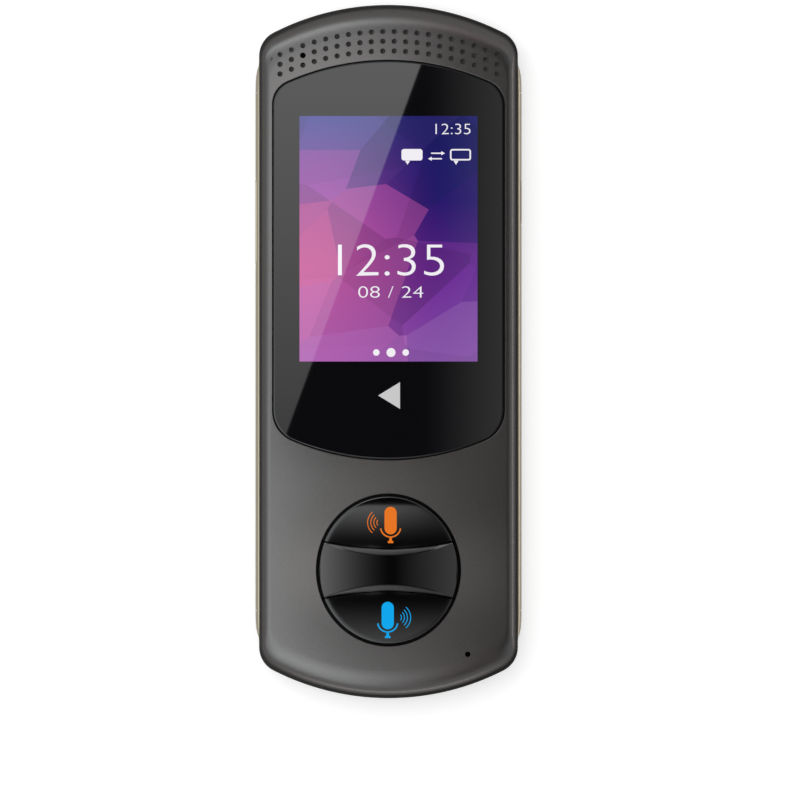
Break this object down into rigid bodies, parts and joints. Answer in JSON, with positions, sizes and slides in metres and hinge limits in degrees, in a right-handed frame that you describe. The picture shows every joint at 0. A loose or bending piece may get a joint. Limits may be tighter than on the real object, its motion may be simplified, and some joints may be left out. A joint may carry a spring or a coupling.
{
  "type": "handheld translator",
  "caption": "Slim handheld voice translator with a black display window, an arched speaker grille, side rails and an oval of two talk keys round a thumb rest.",
  "frame": {"origin": "middle of the flat back face, on which the device lies", "axes": "+Z out of the display, +Y towards the speaker end, +X to the right seen from the front"},
  "size_m": [0.0536, 0.1388, 0.013],
  "materials": {
    "shell_paint": "satin dark grey metallic paint",
    "band_plastic": "satin",
    "rail_metal": "champagne anodised, satin",
    "black_glass": "black-printed cover glass, polished",
    "black_gloss": "piano gloss",
    "rest_satin": "gloss",
    "display_panel": "lit display",
    "amber_film": "film",
    "white_plastic": "matte",
    "black_foam": "foam tape",
    "black_rubber": "matte",
    "grille_cloth": "woven dust cloth",
    "board_green": "solder mask",
    "steel": "tinned",
    "chip_black": "moulded",
    "ceramic": "fired",
    "silver_pouch": "foil pouch"
  },
  "bodies": {
    "case": {"front_housing": "shell_paint", "back_cover": "shell_paint", "mid_frame": "band_plastic", "left_rail": "rail_metal", "right_rail": "rail_metal", "window_glass": "black_glass", "window_adhesive": "black_foam", "lcd_module": "display_panel", "lcd_ribbon": "amber_film", "lcd_socket": "white_plastic", "thumb_rest": "rest_satin", "keypad": "black_rubber", "upper_dome": "steel", "lower_dome": "steel", "main_board": "board_green", "shield_can": "steel", "memory_chip": "chip_black", "radio_antenna": "ceramic", "battery": "silver_pouch", "battery_pad": "black_foam", "battery_plug": "white_plastic", "battery_lead": "black_rubber", "speaker": "chip_black", "speaker_gasket": "black_foam", "speaker_mesh": "grille_cloth", "top_microphone": "steel", "top_mic_boot": "black_rubber", "low_microphone": "steel", "low_mic_boot": "black_rubber", "charging_socket": "steel", "power_switch": "chip_black", "volume_up_switch": "chip_black", "volume_down_switch": "chip_black", "board_screw_1": "steel", "board_screw_2": "steel", "board_screw_3": "steel", "board_screw_4": "steel", "board_screw_5": "steel", "board_screw_6": "steel"},
    "upper_talk": {"upper_talk_key": "black_gloss"},
    "lower_talk": {"lower_talk_key": "black_gloss"},
    "power": {"power_key": "rail_metal"},
    "volume": {"volume_rocker": "rail_metal"}
  },
  "joints": [
    {"name": "upper_talk_press", "type": "slide", "parent": "case", "child": "upper_talk", "axis": [0, 0, -1], "range_m": [0, 0.0004], "stiffness_N_per_m": 3000},
    {"name": "lower_talk_press", "type": "slide", "parent": "case", "child": "lower_talk", "axis": [0, 0, -1], "range_m": [0, 0.0004], "stiffness_N_per_m": 3000},
    {"name": "power_press", "type": "slide", "parent": "case", "child": "power", "axis": [-1, 0, 0], "range_m": [0, 0.0003], "stiffness_N_per_m": 3000},
    {"name": "volume_rock", "type": "hinge", "parent": "case", "child": "volume", "pos_m": [-0.02305, 0.026, 0.0058], "axis": [0, 0, 1], "range_deg": [-1.5, 1.5], "stiffness_Nm_per_rad": 0.4}
  ]
}
